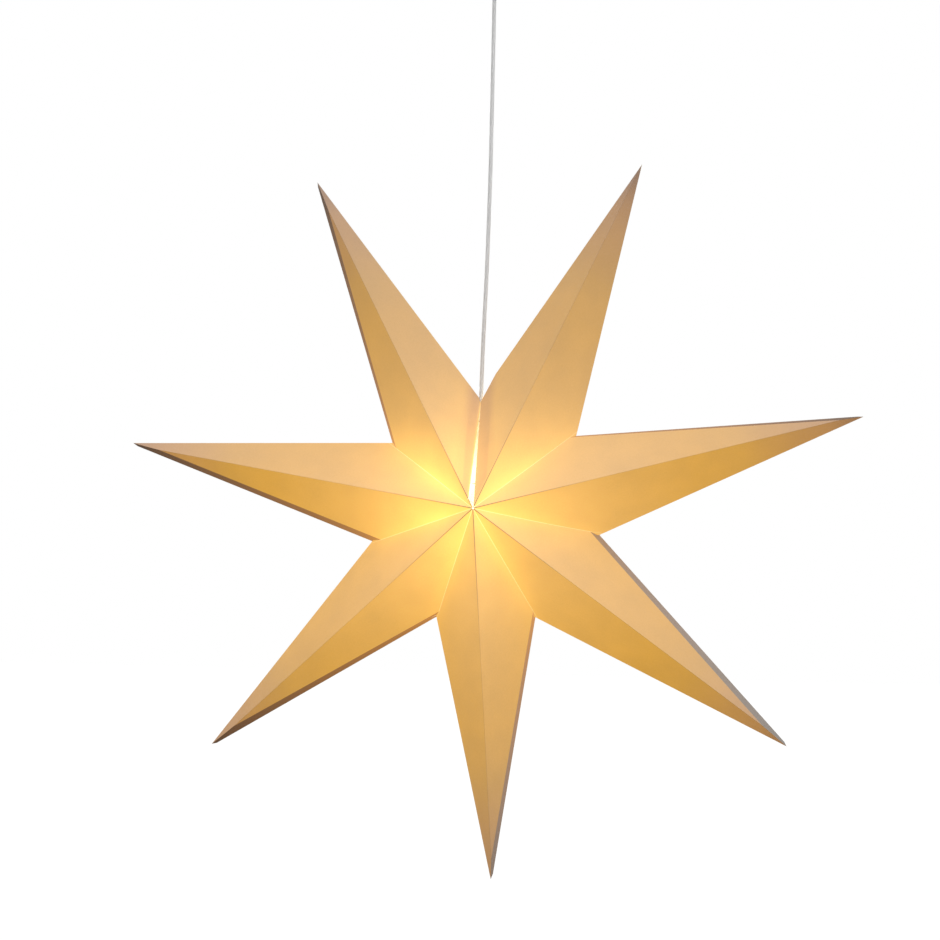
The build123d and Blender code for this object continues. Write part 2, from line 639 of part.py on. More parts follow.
nodes = star_points()
nodes["closing_strip"] = closing_strip()
nodes["cord"] = cord()
for piece in LAMP_PIECES:
    nodes[piece.__name__] = Pos(LAMP_X, 0, -STAR_DROP) * solids_of(piece())
for piece in ROSE_PIECES:
    nodes[piece.__name__] = solids_of(piece())

os.makedirs("parts", exist_ok=True)
for name, shape in nodes.items():
    export_step(solids_of(shape), "parts/" + name + ".step")
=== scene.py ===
"""Lit seven-pointed paper star on a cord under a ceiling rose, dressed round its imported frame.

Metres. +Z is up, the origin is on the ceiling and the star's front looks along -Y.
"""
import math

import bpy
from mathutils import Matrix, Vector, noise


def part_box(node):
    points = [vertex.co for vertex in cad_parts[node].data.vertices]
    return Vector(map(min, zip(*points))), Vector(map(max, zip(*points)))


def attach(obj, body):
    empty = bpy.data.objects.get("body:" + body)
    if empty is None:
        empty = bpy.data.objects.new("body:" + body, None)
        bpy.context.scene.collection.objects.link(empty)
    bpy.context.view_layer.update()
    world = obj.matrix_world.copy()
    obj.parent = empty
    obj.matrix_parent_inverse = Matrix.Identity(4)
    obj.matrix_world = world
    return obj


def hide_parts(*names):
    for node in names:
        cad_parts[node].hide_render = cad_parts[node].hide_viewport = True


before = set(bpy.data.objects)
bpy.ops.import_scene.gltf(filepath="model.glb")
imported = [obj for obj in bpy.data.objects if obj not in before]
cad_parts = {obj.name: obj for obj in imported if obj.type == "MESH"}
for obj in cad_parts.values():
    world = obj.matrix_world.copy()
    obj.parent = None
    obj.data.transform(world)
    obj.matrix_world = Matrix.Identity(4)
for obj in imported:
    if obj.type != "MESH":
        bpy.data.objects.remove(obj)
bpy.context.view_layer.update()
bpy.ops.object.select_all(action="DESELECT")

# Ceiling bracket: a strap of rolled steel, punched and bent, with a bright zinc coat.
# Two screws through its slots hold it under the ceiling, and it carries all the rest.
MM = 0.001
ROLLING_LINE = 0.5 * MM
ROLLING_STRETCH = 0.03
ZINC_CLOUD = 6 * MM

# A Mix node's colour sockets go by number, because its other sockets have the same names.
MIX_A = 6
MIX_B = 7
MIX_COLOUR = 2


def linear(code):
    """Linear colour of an sRGB hex value."""
    parts = [int(code[i:i + 2], 16) / 255 for i in (1, 3, 5)]
    return [p / 12.92 if p <= 0.04045 else ((p + 0.055) / 1.055) ** 2.4 for p in parts] + [1.0]


def set_inputs(tree, node, sockets):
    """Gives a node's inputs, by name or number, a value or another node's output."""
    for key, value in dict(sockets).items():
        if isinstance(value, bpy.types.NodeSocket):
            tree.links.new(value, node.inputs[key])
        else:
            node.inputs[key].default_value = value


def add_node(tree, kind, sockets=(), **settings):
    """Adds a node with its settings, values and links."""
    made = tree.nodes.new(kind)
    for name, value in settings.items():
        setattr(made, name, value)
    set_inputs(tree, made, sockets)
    return made


def start_material(name):
    """A bare material: its node tree, its shader and the piece's own coordinates in metres."""
    material = bpy.data.materials.new(name)
    material.use_nodes = True
    tree = material.node_tree
    place = add_node(tree, "ShaderNodeTexCoord").outputs["Object"]
    return material, tree, tree.nodes["Principled BSDF"], place


def dress(material, *nodes):
    """Gives the finish to pieces that keep their CAD shape."""
    for name in nodes:
        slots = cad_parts[name].data.materials
        slots.clear()
        slots.append(material)


# Zinc-plated steel: cool grey, with fine rolling lines along the strap and cloudy patches in the coat.
zinc_steel, tree, shader, place = start_material("zinc_plated_steel")
along = add_node(tree, "ShaderNodeMapping", {"Vector": place, "Scale": (ROLLING_STRETCH, 1, 1)})
lines = add_node(tree, "ShaderNodeTexNoise", {
    "Vector": along.outputs[0], "Scale": 1 / ROLLING_LINE, "Detail": 2})
clouds = add_node(tree, "ShaderNodeTexNoise", {"Vector": place, "Scale": 1 / ZINC_CLOUD, "Detail": 3})
tone = add_node(tree, "ShaderNodeMix", {
    "Factor": clouds.outputs[0], MIX_A: linear("#a9adb0"), MIX_B: linear("#cdd0d0")}, data_type="RGBA")
gloss = add_node(tree, "ShaderNodeMapRange", {"Value": lines.outputs[0], "To Min": 0.26, "To Max": 0.46})
relief = add_node(tree, "ShaderNodeBump", {
    "Height": lines.outputs[0], "Strength": 0.25, "Distance": 0.05 * MM})
set_inputs(tree, shader, {
    "Metallic": 1.0, "Base Color": tone.outputs[MIX_COLOUR],
    "Roughness": gloss.outputs[0], "Normal": relief.outputs[0]})
dress(zinc_steel, "ceiling_bracket")

# Cord clamp and terminal block: natural nylon, moulded in a spark-eroded tool.
# The clamp pinches the cord on the bracket's plate and the block hangs under the strap.
SPARK_GRAIN = 0.35 * MM
FLOW_PATCH = 9 * MM

# Moulded nylon: milky and slightly warm, with light soaking in a little and a fine grain on its gloss.
nylon, tree, shader, place = start_material("moulded_nylon")
grain = add_node(tree, "ShaderNodeTexNoise", {"Vector": place, "Scale": 1 / SPARK_GRAIN, "Detail": 3})
flow = add_node(tree, "ShaderNodeTexNoise", {"Vector": place, "Scale": 1 / FLOW_PATCH, "Detail": 2})
tone = add_node(tree, "ShaderNodeMix", {
    "Factor": flow.outputs[0], MIX_A: linear("#d3d0c4"), MIX_B: linear("#e6e4da")}, data_type="RGBA")
gloss = add_node(tree, "ShaderNodeMapRange", {"Value": grain.outputs[0], "To Min": 0.42, "To Max": 0.58})
relief = add_node(tree, "ShaderNodeBump", {
    "Height": grain.outputs[0], "Strength": 0.3, "Distance": 0.04 * MM})
set_inputs(tree, shader, {
    "Subsurface Weight": 0.08, "Subsurface Scale": 1 * MM, "IOR": 1.53,
    "Base Color": tone.outputs[MIX_COLOUR], "Roughness": gloss.outputs[0], "Normal": relief.outputs[0]})
dress(nylon, "cord_clamp", "terminal_block")

# Screws of the rose and the lampholder: turned steel with a thin zinc coat.
# They hold the cord's clamp, the wire ends and the lampholder's cord grip.
TOOL_MARK = 0.25 * MM
HANDLED_PATCH = 1.5 * MM

# Turned and plated steel: bright, with fine tool marks that break up the gloss and handled patches.
screw_steel, tree, shader, place = start_material("turned_zinc_screws")
marks = add_node(tree, "ShaderNodeTexNoise", {"Vector": place, "Scale": 1 / TOOL_MARK, "Detail": 2})
handling = add_node(tree, "ShaderNodeTexNoise", {"Vector": place, "Scale": 1 / HANDLED_PATCH, "Detail": 3})
tone = add_node(tree, "ShaderNodeMix", {
    "Factor": handling.outputs[0], MIX_A: linear("#b6b6b0"), MIX_B: linear("#d9d8d2")}, data_type="RGBA")
gloss = add_node(tree, "ShaderNodeMapRange", {"Value": marks.outputs[0], "To Min": 0.2, "To Max": 0.4})
set_inputs(tree, shader, {
    "Metallic": 1.0, "Base Color": tone.outputs[MIX_COLOUR], "Roughness": gloss.outputs[0]})
dress(screw_steel, "clamp_screws", "block_screws", "grip_screw", "terminal_screws")

# Wire cores: brown and blue PVC drawn over copper, bared from the cord's sheath at both ends.
# They run from the clamp to the terminal block, and from the cord's end to the lampholder's terminals.
ROSE_CORES_MIDDLE = (0.0, 0.0, 0.0)
HOLDER_CORES_MIDDLE = [(low + high) / 2 for low, high in zip(*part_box("holder_cores"))]
DRAWING_MARK = 0.6 * MM

# Drawn PVC: satin, brown on one side of the cord's middle and blue on the other.
for name, node, middle, axis in (
        ("core_insulation_rose", "rose_cores", ROSE_CORES_MIDDLE, 1),
        ("core_insulation_holder", "holder_cores", HOLDER_CORES_MIDDLE, 0)):
    core_pvc, tree, shader, place = start_material(name)
    across = add_node(tree, "ShaderNodeSeparateXYZ", {0: place})
    side = add_node(tree, "ShaderNodeMath", {
        0: across.outputs[axis], 1: middle[axis]}, operation="GREATER_THAN")
    tone = add_node(tree, "ShaderNodeMix", {
        "Factor": side.outputs[0], MIX_A: linear("#5a3620"), MIX_B: linear("#24508f")}, data_type="RGBA")
    marks = add_node(tree, "ShaderNodeTexNoise", {"Vector": place, "Scale": 1 / DRAWING_MARK, "Detail": 2})
    gloss = add_node(tree, "ShaderNodeMapRange", {
        "Value": marks.outputs[0], "To Min": 0.3, "To Max": 0.45})
    set_inputs(tree, shader, {"Base Color": tone.outputs[MIX_COLOUR], "Roughness": gloss.outputs[0]})
    dress(core_pvc, node)

# Sliding cover of the rose, with its bush and nut: white ABS, injection moulded.
# The cover closes over the bracket, and its bush runs on the cord and is held there by a small screw.
SATIN_GRAIN = 0.5 * MM
YELLOWING = 40 * MM

# Moulded ABS: white, with a satin grain on its gloss and a trace of yellowing in broad patches.
cover_plastic, tree, shader, place = start_material("satin_moulded_abs")
grain = add_node(tree, "ShaderNodeTexNoise", {"Vector": place, "Scale": 1 / SATIN_GRAIN, "Detail": 3})
age = add_node(tree, "ShaderNodeTexNoise", {"Vector": place, "Scale": 1 / YELLOWING, "Detail": 2})
tone = add_node(tree, "ShaderNodeMix", {
    "Factor": age.outputs[0], MIX_A: linear("#efeee8"), MIX_B: linear("#f8f7f3")}, data_type="RGBA")
gloss = add_node(tree, "ShaderNodeMapRange", {"Value": grain.outputs[0], "To Min": 0.28, "To Max": 0.42})
relief = add_node(tree, "ShaderNodeBump", {
    "Height": grain.outputs[0], "Strength": 0.15, "Distance": 0.03 * MM})
set_inputs(tree, shader, {
    "IOR": 1.54, "Base Color": tone.outputs[MIX_COLOUR],
    "Roughness": gloss.outputs[0], "Normal": relief.outputs[0]})
dress(cover_plastic, "canopy_cup", "canopy_bush", "canopy_nut")
dress(screw_steel, "canopy_lock_screw")

# Cord: two cores in a round white PVC sheath, pulled straight by the star's weight.
# It is clamped in the rose, runs down through the cover's bush and ends in the lampholder.
VALLEY_RADIUS = 123 * MM
STAR_LEAN = math.radians(2.6)
LAMP_X = -VALLEY_RADIUS * math.sin(STAR_LEAN)
CORD_RADIUS = 2 * MM
CORD_ROUTE = [
    (0, -18 * MM), (0, -235 * MM), (-0.9 * MM, -310 * MM), (-2.2 * MM, -380 * MM),
    (-4.2 * MM, -440 * MM), (-5.2 * MM, -490 * MM), (LAMP_X, -540.1 * MM)]
CORE_LAY = 26 * MM
SHEATH_DUST = 3 * MM
line = bpy.data.curves.new("cord_line", "CURVE")
line.dimensions = "3D"
line.bevel_depth = CORD_RADIUS
line.bevel_resolution = 6
line.use_fill_caps = True
line.resolution_u = 16
run = line.splines.new("NURBS")
run.points.add(len(CORD_ROUTE) - 1)
for knot, (x, z) in zip(run.points, CORD_ROUTE):
    knot.co = (x, 0, z, 1)
run.order_u = 3
run.use_endpoint_u = True
cord = bpy.data.objects.new("pvc_cord", line)
bpy.context.collection.objects.link(cord)

# White PVC sheath: satin and a little see-through at its skin, with faint waves where the cores press
# through and a little dust.
sheath_pvc, tree, shader, place = start_material("white_pvc_sheath")
waves = add_node(tree, "ShaderNodeTexWave", {
    "Vector": place, "Scale": 1 / (CORE_LAY * math.pi), "Distortion": 2.0}, bands_direction="Z")
dust = add_node(tree, "ShaderNodeTexNoise", {"Vector": place, "Scale": 1 / SHEATH_DUST, "Detail": 3})
tone = add_node(tree, "ShaderNodeMix", {
    "Factor": dust.outputs[0], MIX_A: linear("#e8e8e8"), MIX_B: linear("#f2f2f1")}, data_type="RGBA")
gloss = add_node(tree, "ShaderNodeMapRange", {"Value": dust.outputs[0], "To Min": 0.4, "To Max": 0.5})
relief = add_node(tree, "ShaderNodeBump", {
    "Height": waves.outputs[0], "Strength": 0.2, "Distance": 0.05 * MM})
set_inputs(tree, shader, {
    "Transmission Weight": 0.35, "IOR": 1.45, "Base Color": tone.outputs[MIX_COLOUR],
    "Roughness": gloss.outputs[0], "Normal": relief.outputs[0]})
line.materials.append(sheath_pvc)
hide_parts("cord")
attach(cord, "hanging_star")

# Lampholder: a two-part body of moulded thermoset on the cord's end, with the disc that the star rests on.
# Cap and skirt close round the terminals, and the grip holds the cord.
STAR_CENTRE = Vector((0, 0, -620 * MM))
BULB_MIDDLE = Vector((LAMP_X, 0, STAR_CENTRE.z - 1.1 * MM))
THERMOSET_GRAIN = 0.4 * MM
FILLER_PATCH = 5 * MM
HOLDER_LIT = 30 * MM
HOLDER_UNLIT = 75 * MM
HOLDER_LIGHT = 0.65

# Moulded thermoset: white, glossier than the rose, faintly cloudy, and with a painted warm glow where the
# bulb is close.
holder_plastic, tree, shader, place = start_material("moulded_thermoset")
grain = add_node(tree, "ShaderNodeTexNoise", {"Vector": place, "Scale": 1 / THERMOSET_GRAIN, "Detail": 3})
filler = add_node(tree, "ShaderNodeTexNoise", {"Vector": place, "Scale": 1 / FILLER_PATCH, "Detail": 2})
tone = add_node(tree, "ShaderNodeMix", {
    "Factor": filler.outputs[0], MIX_A: linear("#dfddd5"), MIX_B: linear("#ebeae4")}, data_type="RGBA")
gloss = add_node(tree, "ShaderNodeMapRange", {"Value": grain.outputs[0], "To Min": 0.22, "To Max": 0.36})
off_bulb = add_node(tree, "ShaderNodeVectorMath", {0: place, 1: BULB_MIDDLE}, operation="DISTANCE")
holder_painted_glow = add_node(tree, "ShaderNodeMapRange", {
    "Value": off_bulb.outputs["Value"], "From Min": HOLDER_LIT, "From Max": HOLDER_UNLIT,
    "To Min": HOLDER_LIGHT, "To Max": 0.0}, interpolation_type="SMOOTHSTEP")
set_inputs(tree, shader, {
    "Base Color": tone.outputs[MIX_COLOUR], "Roughness": gloss.outputs[0],
    "Emission Strength": holder_painted_glow.outputs[0], "Emission Color": linear("#ffe9c4")})
dress(holder_plastic, "carrier_disc", "cord_grip", "holder_cap", "holder_skirt")

# Terminal insert: pressed and fired steatite.
# It sits inside the lampholder and keeps the two terminals apart.
STEATITE_SPECK = 0.5 * MM

# Fired steatite: cream white, dry and matt, with fine specks.
steatite, tree, shader, place = start_material("fired_steatite")
specks = add_node(tree, "ShaderNodeTexNoise", {"Vector": place, "Scale": 1 / STEATITE_SPECK, "Detail": 4})
tone = add_node(tree, "ShaderNodeMix", {
    "Factor": specks.outputs[0], MIX_A: linear("#d8d2c4"), MIX_B: linear("#efebe0")}, data_type="RGBA")
gloss = add_node(tree, "ShaderNodeMapRange", {"Value": specks.outputs[0], "To Min": 0.6, "To Max": 0.8})
set_inputs(tree, shader, {"Base Color": tone.outputs[MIX_COLOUR], "Roughness": gloss.outputs[0]})
dress(steatite, "terminal_insert")

# Brass pieces: the threaded shell, the spring tongue and the bulb's contact, pressed from sheet.
# Shell and tongue sit in the lampholder, and the contact sits in the bulb's end.
TARNISH_PATCH = 4 * MM

# Pressed brass: warm yellow metal, cloudy from handling, with darker and duller tarnished patches.
brass, tree, shader, place = start_material("pressed_brass")
tarnish = add_node(tree, "ShaderNodeTexNoise", {"Vector": place, "Scale": 1 / TARNISH_PATCH, "Detail": 4})
tone = add_node(tree, "ShaderNodeMix", {
    "Factor": tarnish.outputs[0], MIX_A: linear("#a9813f"), MIX_B: linear("#dcb873")}, data_type="RGBA")
gloss = add_node(tree, "ShaderNodeMapRange", {"Value": tarnish.outputs[0], "To Min": 0.2, "To Max": 0.42})
set_inputs(tree, shader, {
    "Metallic": 1.0, "Base Color": tone.outputs[MIX_COLOUR], "Roughness": gloss.outputs[0]})
dress(brass, "screw_shell", "centre_tongue", "bulb_contact")

# Bulb: a clear globe on a rolled metal cap, with four glowing rods on a glass stem.
# It screws into the lampholder from below.
ROLLED_PATCH = 2 * MM
VITRITE_SWIRL = 1.5 * MM
GLASS_CORD = 12 * MM
CHIP = 1 * MM

# Rolled cap: cool bright metal with soft patches of gloss.
cap_metal, tree, shader, place = start_material("rolled_bulb_cap")
rolling = add_node(tree, "ShaderNodeTexNoise", {"Vector": place, "Scale": 1 / ROLLED_PATCH, "Detail": 3})
tone = add_node(tree, "ShaderNodeMix", {
    "Factor": rolling.outputs[0], MIX_A: linear("#b4b5b6"), MIX_B: linear("#dadad8")}, data_type="RGBA")
gloss = add_node(tree, "ShaderNodeMapRange", {"Value": rolling.outputs[0], "To Min": 0.18, "To Max": 0.34})
set_inputs(tree, shader, {
    "Metallic": 1.0, "Base Color": tone.outputs[MIX_COLOUR], "Roughness": gloss.outputs[0]})
dress(cap_metal, "bulb_cap")

# Vitrite: black glass poured round the contact, glossy and slightly swirled.
vitrite, tree, shader, place = start_material("black_vitrite")
swirl = add_node(tree, "ShaderNodeTexNoise", {"Vector": place, "Scale": 1 / VITRITE_SWIRL, "Detail": 3})
tone = add_node(tree, "ShaderNodeMix", {
    "Factor": swirl.outputs[0], MIX_A: linear("#15151a"), MIX_B: linear("#2b2b33")}, data_type="RGBA")
set_inputs(tree, shader, {"Base Color": tone.outputs[MIX_COLOUR], "Roughness": 0.15})
dress(vitrite, "bulb_insulator")

# Blown glass: clear and thin, with slight unevenness that bends its reflections.
glass, tree, shader, place = start_material("blown_clear_glass")
cords = add_node(tree, "ShaderNodeTexNoise", {"Vector": place, "Scale": 1 / GLASS_CORD, "Detail": 1})
relief = add_node(tree, "ShaderNodeBump", {
    "Height": cords.outputs[0], "Strength": 0.1, "Distance": 0.2 * MM})
set_inputs(tree, shader, {
    "Base Color": linear("#fbf7ef"), "Roughness": 0.02, "Transmission Weight": 1.0, "IOR": 1.5,
    "Normal": relief.outputs[0]})
dress(glass, "bulb_globe", "bulb_stem")

# Lit phosphor: yellow silicone over a row of chips, glowing warm and a little uneven.
phosphor, tree, shader, place = start_material("lit_phosphor_rod")
chips = add_node(tree, "ShaderNodeTexNoise", {"Vector": place, "Scale": 1 / CHIP, "Detail": 1})
drive = add_node(tree, "ShaderNodeMapRange", {"Value": chips.outputs[0], "To Min": 6.0, "To Max": 10.0})
set_inputs(tree, shader, {
    "Base Color": linear("#f2c868"), "Emission Color": linear("#ffdf9c"),
    "Emission Strength": drive.outputs[0]})
dress(phosphor, "led_filaments")

# Star: seven sheets of white paper, each folded to a hollow four-sided point and glued shut along a
# narrow seam strip. They meet in valleys, and the front of the top valley is left open as a slit.
# Values in a row go from point to point, or from valley to valley, anticlockwise from the slit.
POINT_NAMES = ("top_left", "left", "lower_left", "bottom", "lower_right", "right", "top_right")
REACH = 388 * MM
REACH_DRIFT = (12 * MM, 2 * MM, -12 * MM, -15 * MM, 0, 12 * MM, 15 * MM)
HALF_DEPTH = 70.5 * MM
HALF_WEDGE = math.pi / len(POINT_NAMES)
VALLEY_ALONG = VALLEY_RADIUS * math.cos(HALF_WEDGE)
VALLEY_ACROSS = VALLEY_RADIUS * math.sin(HALF_WEDGE)
VALLEY_END = Vector((VALLEY_ALONG, VALLEY_ACROSS, 0))
SEAM_TILTS = (64.0, 64.5, 63.5, 71.0, 65.0, 71.5, 78.0)
SEAM_DEPTHS = (4 * MM, 4 * MM, 4 * MM, 4 * MM, 4 * MM, 4 * MM, 0.8 * MM)
SEAM_NARROWING = (0.2, 0, 0.35, 0.15, 0.08, 0.15, 0)
TUCK = math.radians(1.2)
PAPER = 0.5 * MM
PINHOLE = 0.9 * MM
TOUCH = 0.02 * MM


def point_reach(index):
    """Distance from the star's centre to a point's tip."""
    return REACH + REACH_DRIFT[index]


def half_width(index):
    """Half the width that a point's edges would have at the star's centre."""
    return VALLEY_ACROSS * point_reach(index) / (point_reach(index) - VALLEY_ALONG)


def valley_line(turn):
    """Direction of a point's valley from the centre. Turn 1 is the anticlockwise side, -1 the other."""
    return Vector((math.cos(HALF_WEDGE), turn * math.sin(HALF_WEDGE), 0))


def valley_normal(turn, past=0.0):
    """Direction out of a point across its valley, turned past it by an angle."""
    return Vector((-math.sin(HALF_WEDGE + past), turn * math.cos(HALF_WEDGE + past), 0))


def seam_plane(index):
    """A spot on a point's seam strip, and the direction that the strip faces."""
    run_out = point_reach(index) - VALLEY_ALONG
    edge = math.hypot(run_out, VALLEY_ACROSS)
    tilt = math.radians(SEAM_TILTS[index])
    facing = Vector((
        math.sin(tilt) * VALLEY_ACROSS / edge, math.sin(tilt) * run_out / edge, math.cos(tilt)))
    return VALLEY_END - facing * SEAM_DEPTHS[index], facing


def select_where(piece, kind, wanted=lambda element: True):
    """Selects the piece's faces or edges for which wanted holds, and stays in edit mode."""
    bpy.ops.object.mode_set(mode="EDIT")
    bpy.ops.mesh.select_mode(type=kind)
    bpy.ops.mesh.select_all(action="DESELECT")
    bpy.ops.object.mode_set(mode="OBJECT")
    for element in piece.data.polygons if kind == "FACE" else piece.data.edges:
        element.select = wanted(element)
    bpy.ops.object.mode_set(mode="EDIT")


def cut(origin, normal, fill=False, clear=True):
    """Cuts what is selected with a plane and takes away what lies beyond it, unless clear is off."""
    bpy.ops.mesh.bisect(plane_co=origin, plane_no=normal, use_fill=fill, clear_outer=clear)


def on_plane(piece, edge, origin, normal):
    """Whether both ends of an edge lie on a plane."""
    return all(abs((piece.data.vertices[v].co - origin).dot(normal)) < TOUCH for v in edge.vertices)


# The slit lies between the last point, on its anticlockwise side, and the first, on its clockwise side.
SLIT_TURN = {0: -1, len(POINT_NAMES) - 1: 1}
SLIT_LENGTH = 106 * MM
SLIT_AT_FRONT = {-1: 4.8 * MM, 1: 0.7 * MM}
SLIT_AT_NOTCH = {-1: 0, 1: 0.7 * MM}
HEM_WIDTH = {-1: 11 * MM, 1: 14 * MM}
HEM_FOLD = 1.2 * MM
HEM_RIDGE_GAP = 0.8 * MM
NOTCH_FROM = (114 * MM, 0.7 * MM)
NOTCH_TO = (126 * MM, 7 * MM)
CLOSING_WIDTH = 9 * MM
CLOSING_START = 26 * MM
CLOSING_END = 80 * MM
CLOSING_BLUR = 3 * MM
FACET_FACING = 0.5


def hem_slit(point, turn):
    """Opens the front of a valley to a slit, turns the paper in along it and clips the cord's notch."""
    valley = valley_line(turn)
    outward = valley_normal(turn)
    slit_spot = outward * -SLIT_AT_FRONT[turn]
    slit = (outward * SLIT_LENGTH - valley * (SLIT_AT_FRONT[turn] - SLIT_AT_NOTCH[turn])).normalized()

    def on_side(face):
        return face.center.y * turn > 0

    def in_front(face):
        return on_side(face) and face.normal.z > FACET_FACING

    def at_back(face):
        return on_side(face) and face.normal.z < -FACET_FACING

    def past_slit(face):
        return in_front(face) and (face.center - slit_spot).dot(slit) > 0

    def along_edge(edge):
        ends = [point.data.vertices[v].co for v in edge.vertices]
        in_facet = all(end.z > TOUCH and end.y * turn > -TOUCH for end in ends)
        return in_facet and on_plane(point, edge, slit_spot, slit)

    select_where(point, "FACE", in_front)
    cut(slit_spot, slit, clear=False)
    select_where(point, "FACE", past_slit)
    bpy.ops.mesh.delete(type="FACE")
    select_where(point, "FACE", in_front)
    cut(outward * -HEM_WIDTH[turn], outward, clear=False)
    for margin in (0, CLOSING_BLUR):
        for spot, normal in (
                (outward * -(CLOSING_WIDTH + margin), outward),
                (valley * (CLOSING_START - margin), valley),
                (valley * (CLOSING_END + margin), valley)):
            select_where(point, "FACE", at_back)
            cut(spot, normal, clear=False)
    bpy.ops.object.mode_set(mode="OBJECT")
    facet = [face.normal.copy() for face in point.data.polygons if in_front(face)][0]
    inwards = (facet * slit.dot(facet) - slit).normalized()
    along_slit = facet.cross(slit).normalized()
    select_where(point, "EDGE", along_edge)
    bpy.ops.mesh.extrude_region()
    bpy.ops.transform.translate(value=facet * -HEM_FOLD)
    bpy.ops.mesh.extrude_region()
    bpy.ops.transform.translate(value=inwards * HEM_WIDTH[turn])
    bpy.ops.object.mode_set(mode="OBJECT")
    for vertex in point.data.vertices:
        short = HEM_RIDGE_GAP - vertex.co.y * turn
        if vertex.select and short > 0:
            vertex.co += along_slit * short / (along_slit.y * turn)
    if turn > 0:
        low, high = [valley * along - outward * across for along, across in (NOTCH_FROM, NOTCH_TO)]
        select_where(point, "FACE", on_side)
        cut(low, (high - low).cross(Vector((0, 0, -1))).normalized())


def fold_point(index):
    """Folds one sheet in its own frame: X to the tip, Y anticlockwise, Z to the front."""
    reach = point_reach(index)
    bpy.ops.mesh.primitive_cone_add(
        vertices=4, radius1=1, radius2=0, depth=reach, end_fill_type="NGON",
        scale=(half_width(index), HALF_DEPTH, 1))
    point = bpy.context.object
    point.name = "paper_point_" + POINT_NAMES[index]
    point.matrix_world = Matrix(((0, 0, 1, reach / 2), (1, 0, 0, 0), (0, 1, 0, 0), (0, 0, 0, 1)))
    bpy.ops.object.transform_apply()
    seam_spot, seam = seam_plane(index)
    select_where(point, "FACE")
    cut(seam_spot, seam, fill=True)
    for turn, past in ((1, 0), (-1, TUCK if index else 0)):
        select_where(point, "FACE")
        cut((0, 0, 0), valley_normal(turn, past))
    select_where(point, "FACE")
    cut((PINHOLE, 0, 0), (-1, 0, 0))

    def at_strip_end(edge):
        in_valley = on_plane(point, edge, Vector(), valley_normal(1))
        return in_valley and on_plane(point, edge, seam_spot, seam)

    select_where(point, "EDGE", at_strip_end)
    bpy.ops.mesh.extrude_region()
    bpy.ops.mesh.select_mode(type="VERT")
    bpy.ops.mesh.merge(type="CENTER")
    bpy.ops.object.mode_set(mode="OBJECT")
    gusset_tip = [v for v in point.data.vertices if v.select][0]
    gusset_tip.co = VALLEY_END
    for vertex in point.data.vertices:
        at_valley = abs(vertex.co.dot(valley_normal(1))) < TOUCH
        on_seam = abs((vertex.co - seam_spot).dot(seam)) < TOUCH
        if at_valley and on_seam and vertex.co.z > 0:
            vertex.co = vertex.co.lerp(VALLEY_END, SEAM_NARROWING[index])

    if index in SLIT_TURN:
        hem_slit(point, SLIT_TURN[index])
    bpy.ops.object.mode_set(mode="OBJECT")
    return point


def apply_modifier(piece, kind, **settings):
    """Adds a modifier to a piece and applies it."""
    bpy.ops.object.select_all(action="DESELECT")
    bpy.context.view_layer.objects.active = piece
    piece.select_set(True)
    step = piece.modifiers.new(kind.lower(), kind)
    for name, value in settings.items():
        setattr(step, name, value)
    bpy.ops.object.modifier_apply(modifier=step.name)


def ease(value):
    """Smooth step from 0 to 1."""
    value = max(0.0, min(1.0, value))
    return value * value * (3 - 2 * value)


# Paper between its folds bows out by up to this much, in swells of this size, and lies flat near a fold.
# Each point has its own stretch of the swells.
WARP = 0.9 * MM
WARP_SIZE = 55 * MM
WARP_EDGE = 14 * MM
WARP_SHIFT = 7.3


def warp_paper(point, index):
    """Bows the sheet outwards a little between its folds, as stiff paper does."""
    seam_spot, seam = seam_plane(index)
    pattern = Vector((WARP_SHIFT * index, 0, 0))
    for vertex in point.data.vertices:
        spot = vertex.co
        off_valley = spot.x * math.sin(HALF_WEDGE) - abs(spot.y) * math.cos(HALF_WEDGE)
        room = min(abs(spot.y), abs(spot.z), off_valley, abs((spot - seam_spot).dot(seam)))
        swell = WARP * noise.noise(spot / WARP_SIZE + pattern) * ease(room / WARP_EDGE)
        vertex.co = spot + Vector((0, 0, math.copysign(swell, spot.z)))


# Two sheets lie on each other along the slit and at the closing strip, and there the glow is dimmed as
# painted shade.
# Close to the notch the hem's edge is softer, and a painted shadow of the lampholder makes its shade
# deeper.
HEM_DIMMING = 0.47
HEM_EDGE = 4 * MM
SLIT_SOFT_EDGE = 2.5 * MM
NOTCH_PAINTED_SHADOW = {-1: 0.22, 1: 0.06}
NOTCH_SHADE = 45 * MM
NOTCH_EDGE = 9 * MM


def hem_and_holder_painted_shade(spot, turn):
    """Painted shade of the hem or closing strip on a spot, with the lampholder's painted shadow near the
    notch.
    """
    if spot.y * turn <= 0:
        return 0.0
    off_valley = spot.x * math.sin(HALF_WEDGE) - spot.y * turn * math.cos(HALF_WEDGE)
    outwards = spot.dot(valley_line(turn))
    if spot.z < 0:
        inside = min(outwards - CLOSING_START, CLOSING_END - outwards, CLOSING_WIDTH - off_valley)
        return ease(1 + inside / CLOSING_BLUR) * HEM_DIMMING
    near_notch = ease((outwards - VALLEY_RADIUS + NOTCH_SHADE) / NOTCH_SHADE)
    slit_edge = SLIT_AT_FRONT[turn] * (1 - outwards / SLIT_LENGTH)
    at_edge = ease((off_valley - slit_edge) / SLIT_SOFT_EDGE) if turn < 0 else 1.0
    # The notch term is a painted shadow of the lampholder, not paper.
    depth = (HEM_DIMMING + NOTCH_PAINTED_SHADOW[turn] * near_notch) * at_edge
    blur = HEM_EDGE + NOTCH_EDGE * near_notch
    return ease((HEM_WIDTH[turn] + blur / 2 - off_valley) / blur) * depth


# Seam strips differ: each has its own share of painted glow, and its base is painted paler or greyer as
# painted daylight and shade.
SEAM_PAINTED_GLOW = (1.0, 0.8, 1.0, 1.0, 0.45, 1.2, 1.0)
SEAM_PAINTED_DAYLIGHT = (0.5, 0.58, 0.35, 1.0, 0.85, 0.18, 0.5)
SEAM_FACING = 0.95


